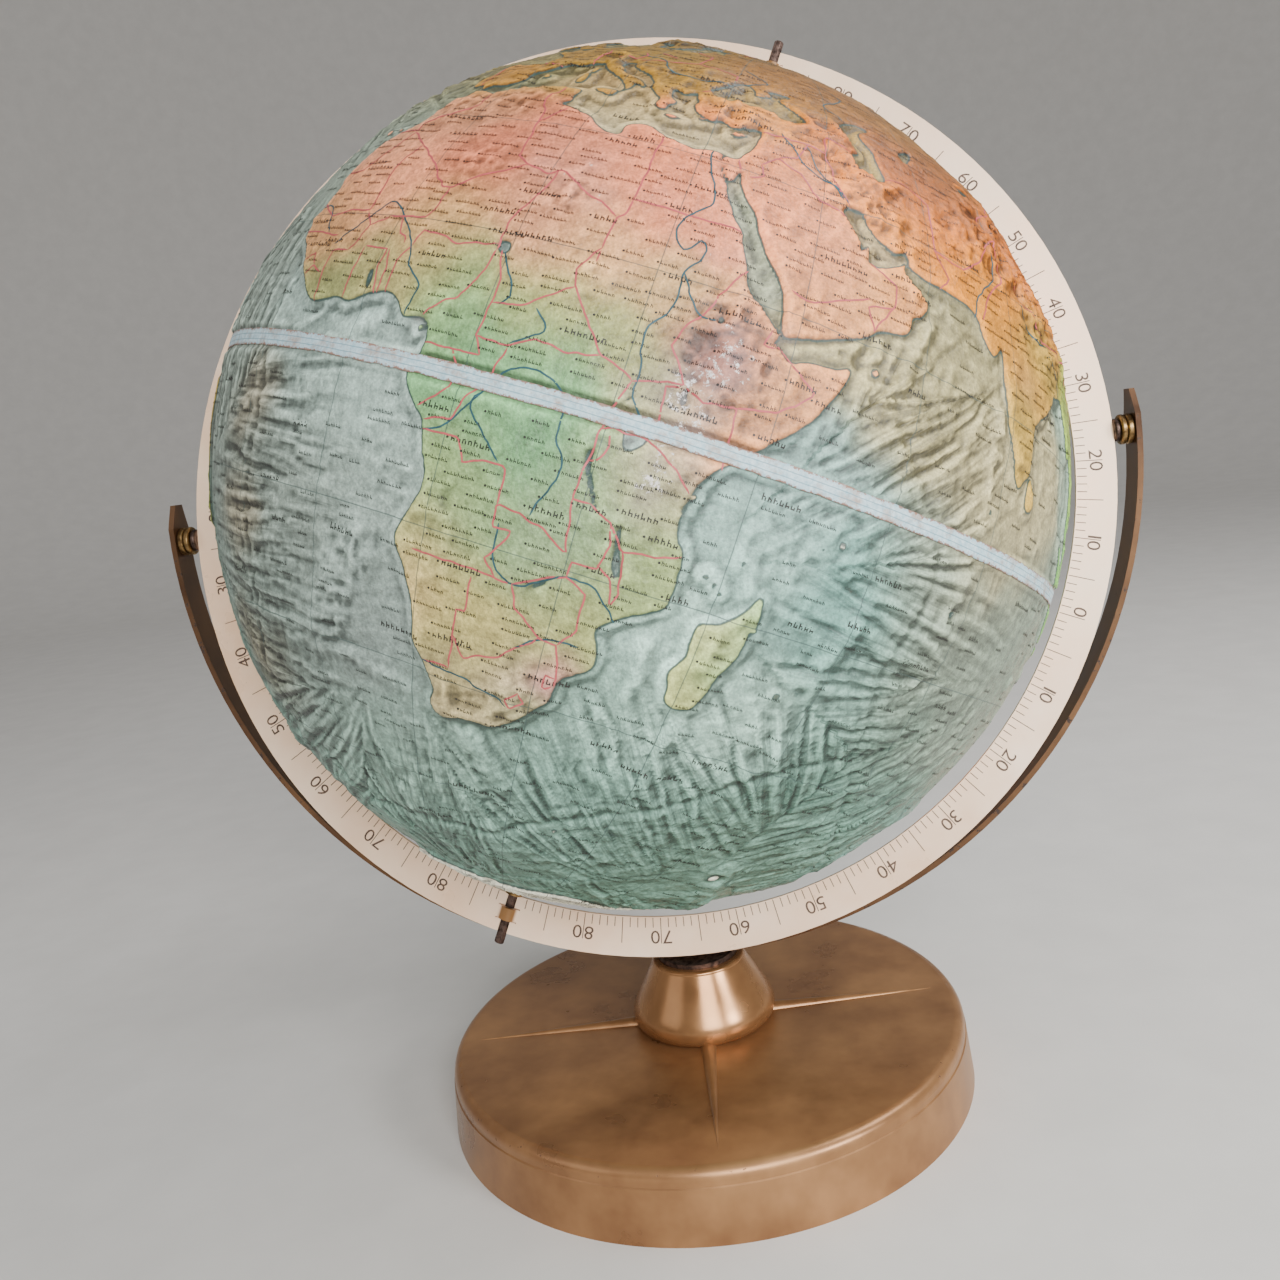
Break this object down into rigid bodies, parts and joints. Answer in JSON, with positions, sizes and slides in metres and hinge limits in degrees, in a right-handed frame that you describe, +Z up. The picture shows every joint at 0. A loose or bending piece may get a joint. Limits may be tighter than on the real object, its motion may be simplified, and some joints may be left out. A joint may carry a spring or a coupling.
{
  "type": "desktop globe",
  "caption": "Raised-relief desktop globe in a swinging graduated meridian ring, carried by a half-round bow on a round metal base.",
  "frame": {"origin": "on the ground at the middle of the round base", "axes": "+Z up the swivel screw; +X along the bow's pivots, towards the side where the north pole leans; -Y is the face of the ring that carries the scale"},
  "size_m": [0.366, 0.3048, 0.4072],
  "materials": {
    "bronze_paint": "satin metallic bronze lacquer on stamped steel",
    "bow_paint": "satin metallic bronze lacquer on steel strip, chipped at the edges",
    "ring_paint": "satin metallic champagne lacquer with dark debossed scale",
    "dark_steel": "oil-blackened steel",
    "bright_steel": "dull zinc plate",
    "brass": "tarnished turned brass",
    "map_skin": "printed and vacuum-moulded relief skin, satin varnish",
    "tape": "printed paper tape, frayed",
    "strip": "plain board"
  },
  "bodies": {
    "stand": {"base_shell": "bronze_paint", "hub_cone": "bronze_paint", "bow_screw": "dark_steel", "bow_screw_washer": "bright_steel", "base_lock_washer": "dark_steel", "base_nut": "bright_steel"},
    "bow": {"bow": "bow_paint", "bow_saddle": "dark_steel", "pivot_bush_east": "brass", "pivot_bush_west": "brass"},
    "ring": {"meridian_ring": "ring_paint", "pivot_stud_east": "dark_steel", "pivot_stud_west": "dark_steel", "pivot_washer_east": "brass", "pivot_washer_west": "brass", "north_pole_pin": "dark_steel", "south_pole_pin": "dark_steel", "north_pole_spacer": "brass", "south_pole_spacer": "brass"},
    "globe": {"north_shell": "map_skin", "south_shell": "map_skin", "equator_tape": "tape", "joint_strip": "strip", "north_pole_bush": "brass", "south_pole_bush": "brass"}
  },
  "joints": [
    {"name": "bow_swivel", "type": "hinge", "parent": "stand", "child": "bow", "pos_m": [0, 0, 0.0505], "axis": [0, 0, 1], "continuous": true},
    {"name": "ring_swing", "type": "hinge", "parent": "bow", "child": "ring", "pos_m": [0, 0, 0.23515], "axis": [1, 0, 0], "continuous": true},
    {"name": "globe_spin", "type": "hinge", "parent": "ring", "child": "globe", "pos_m": [0, 0, 0.23515], "axis": [0.3987, 0.1592, 0.9031], "continuous": true}
  ]
}
